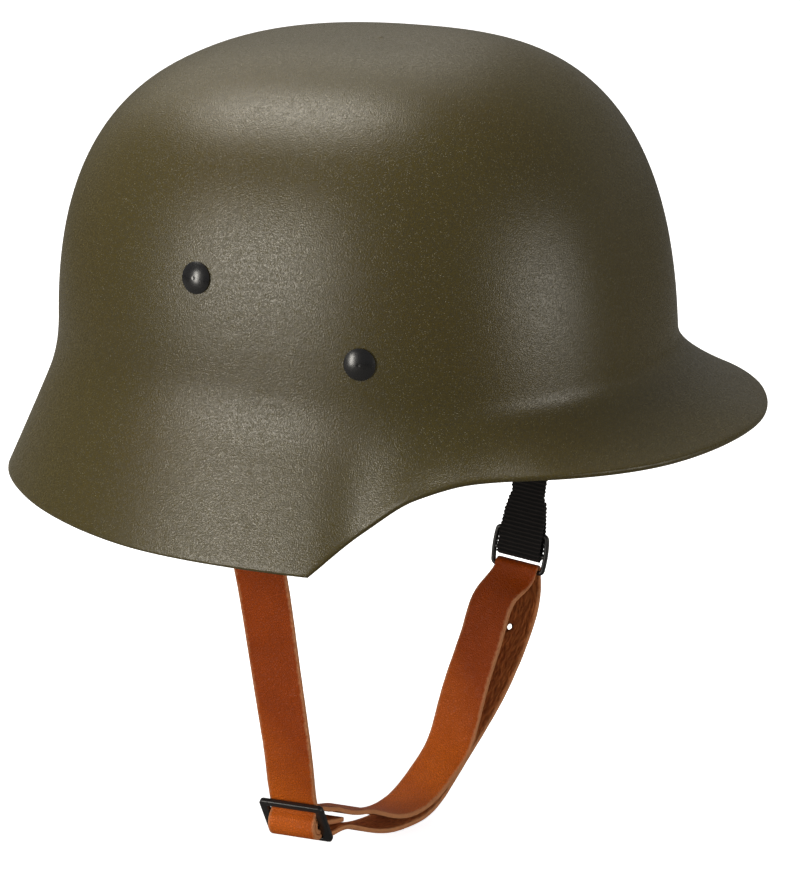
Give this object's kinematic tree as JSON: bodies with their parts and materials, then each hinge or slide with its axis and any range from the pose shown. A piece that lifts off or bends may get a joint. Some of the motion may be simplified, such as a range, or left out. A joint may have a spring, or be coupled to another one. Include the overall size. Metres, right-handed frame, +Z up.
{
  "type": "military helmet with chin strap",
  "caption": "Deep domed helmet shell with a short visor, a flared neck skirt, domed rivets and a leather chin strap that runs through a slider to a loop on elastic webbing.",
  "frame": {"origin": "the top of the hollow inside the crown, where the helmet sits on the head", "axes": "+Z up as worn, -Y to the front (the visor), -X to the wearer's right"},
  "size_m": [0.242, 0.3048, 0.3199],
  "materials": {
    "shell": "olive drab moulded plastic with a fine orange-peel grain",
    "rivet": "black satin",
    "leather": "smooth orange-brown outside, suede inside",
    "hardware": "black satin plastic",
    "webbing": "black ribbed elastic"
  },
  "bodies": {
    "root": {"helmet_shell": "shell", "rivet_front_right": "rivet", "rivet_front_left": "rivet", "rivet_rear_right": "rivet", "rivet_rear_left": "rivet", "chin_strap": "leather", "strap_slider": "hardware", "strap_loop": "hardware", "elastic_webbing": "webbing"}
  },
  "joints": []
}
